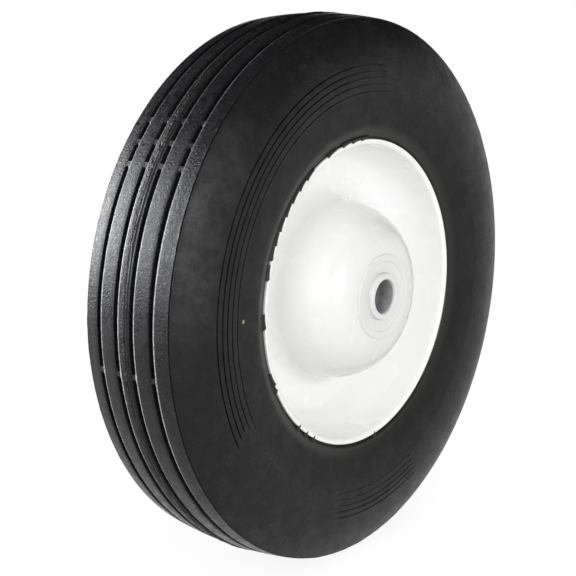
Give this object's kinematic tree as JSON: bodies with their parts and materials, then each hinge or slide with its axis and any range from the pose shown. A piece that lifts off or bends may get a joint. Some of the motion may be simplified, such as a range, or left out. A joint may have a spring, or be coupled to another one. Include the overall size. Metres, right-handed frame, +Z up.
{
  "type": "wheelbarrow wheel",
  "caption": "Solid rubber wheel with a ribbed tread on a white pressed steel disc with a domed hub and a flanged ball bearing on each side.",
  "frame": {"origin": "the wheel's centre, on the axle line and midway between its two sides", "axes": "+Y along the axle line; +Z up as the wheel stands; the side that the picture shows faces -Y"},
  "size_m": [0.254, 0.0784, 0.254],
  "materials": {
    "tyre": "satin black rubber",
    "wheel_paint": "glossy white paint",
    "bearing_paint": "white paint over steel",
    "tube_steel": "dull bare steel",
    "ball_steel": "polished steel",
    "cage_nylon": "natural nylon"
  },
  "bodies": {
    "axle_set": {"near_inner_ring": "bearing_paint", "far_inner_ring": "bearing_paint", "spacer_tube": "tube_steel"},
    "wheel": {"tyre": "tyre", "near_rim_half": "wheel_paint", "far_rim_half": "wheel_paint", "near_bearing_cup": "bearing_paint", "far_bearing_cup": "bearing_paint", "near_bearing_shield": "bearing_paint", "far_bearing_shield": "bearing_paint"},
    "near_ball_set": {"near_ball_cage": "cage_nylon", "near_ball_1": "ball_steel", "near_ball_2": "ball_steel", "near_ball_3": "ball_steel", "near_ball_4": "ball_steel", "near_ball_5": "ball_steel", "near_ball_6": "ball_steel", "near_ball_7": "ball_steel", "near_ball_8": "ball_steel", "near_ball_9": "ball_steel"},
    "far_ball_set": {"far_ball_cage": "cage_nylon", "far_ball_1": "ball_steel", "far_ball_2": "ball_steel", "far_ball_3": "ball_steel", "far_ball_4": "ball_steel", "far_ball_5": "ball_steel", "far_ball_6": "ball_steel", "far_ball_7": "ball_steel", "far_ball_8": "ball_steel", "far_ball_9": "ball_steel"}
  },
  "joints": [
    {"name": "wheel_spin", "type": "hinge", "parent": "axle_set", "child": "wheel", "pos_m": [0, 0, 0], "axis": [0, 1, 0], "continuous": true},
    {"name": "near_balls_spin", "type": "hinge", "parent": "axle_set", "child": "near_ball_set", "pos_m": [0, 0, 0], "axis": [0, 1, 0], "continuous": true},
    {"name": "far_balls_spin", "type": "hinge", "parent": "axle_set", "child": "far_ball_set", "pos_m": [0, 0, 0], "axis": [0, 1, 0], "continuous": true}
  ],
  "couplings": [
    {"joint": "near_balls_spin", "follows": "wheel_spin", "ratio": 0.6022},
    {"joint": "far_balls_spin", "follows": "wheel_spin", "ratio": 0.6022}
  ]
}
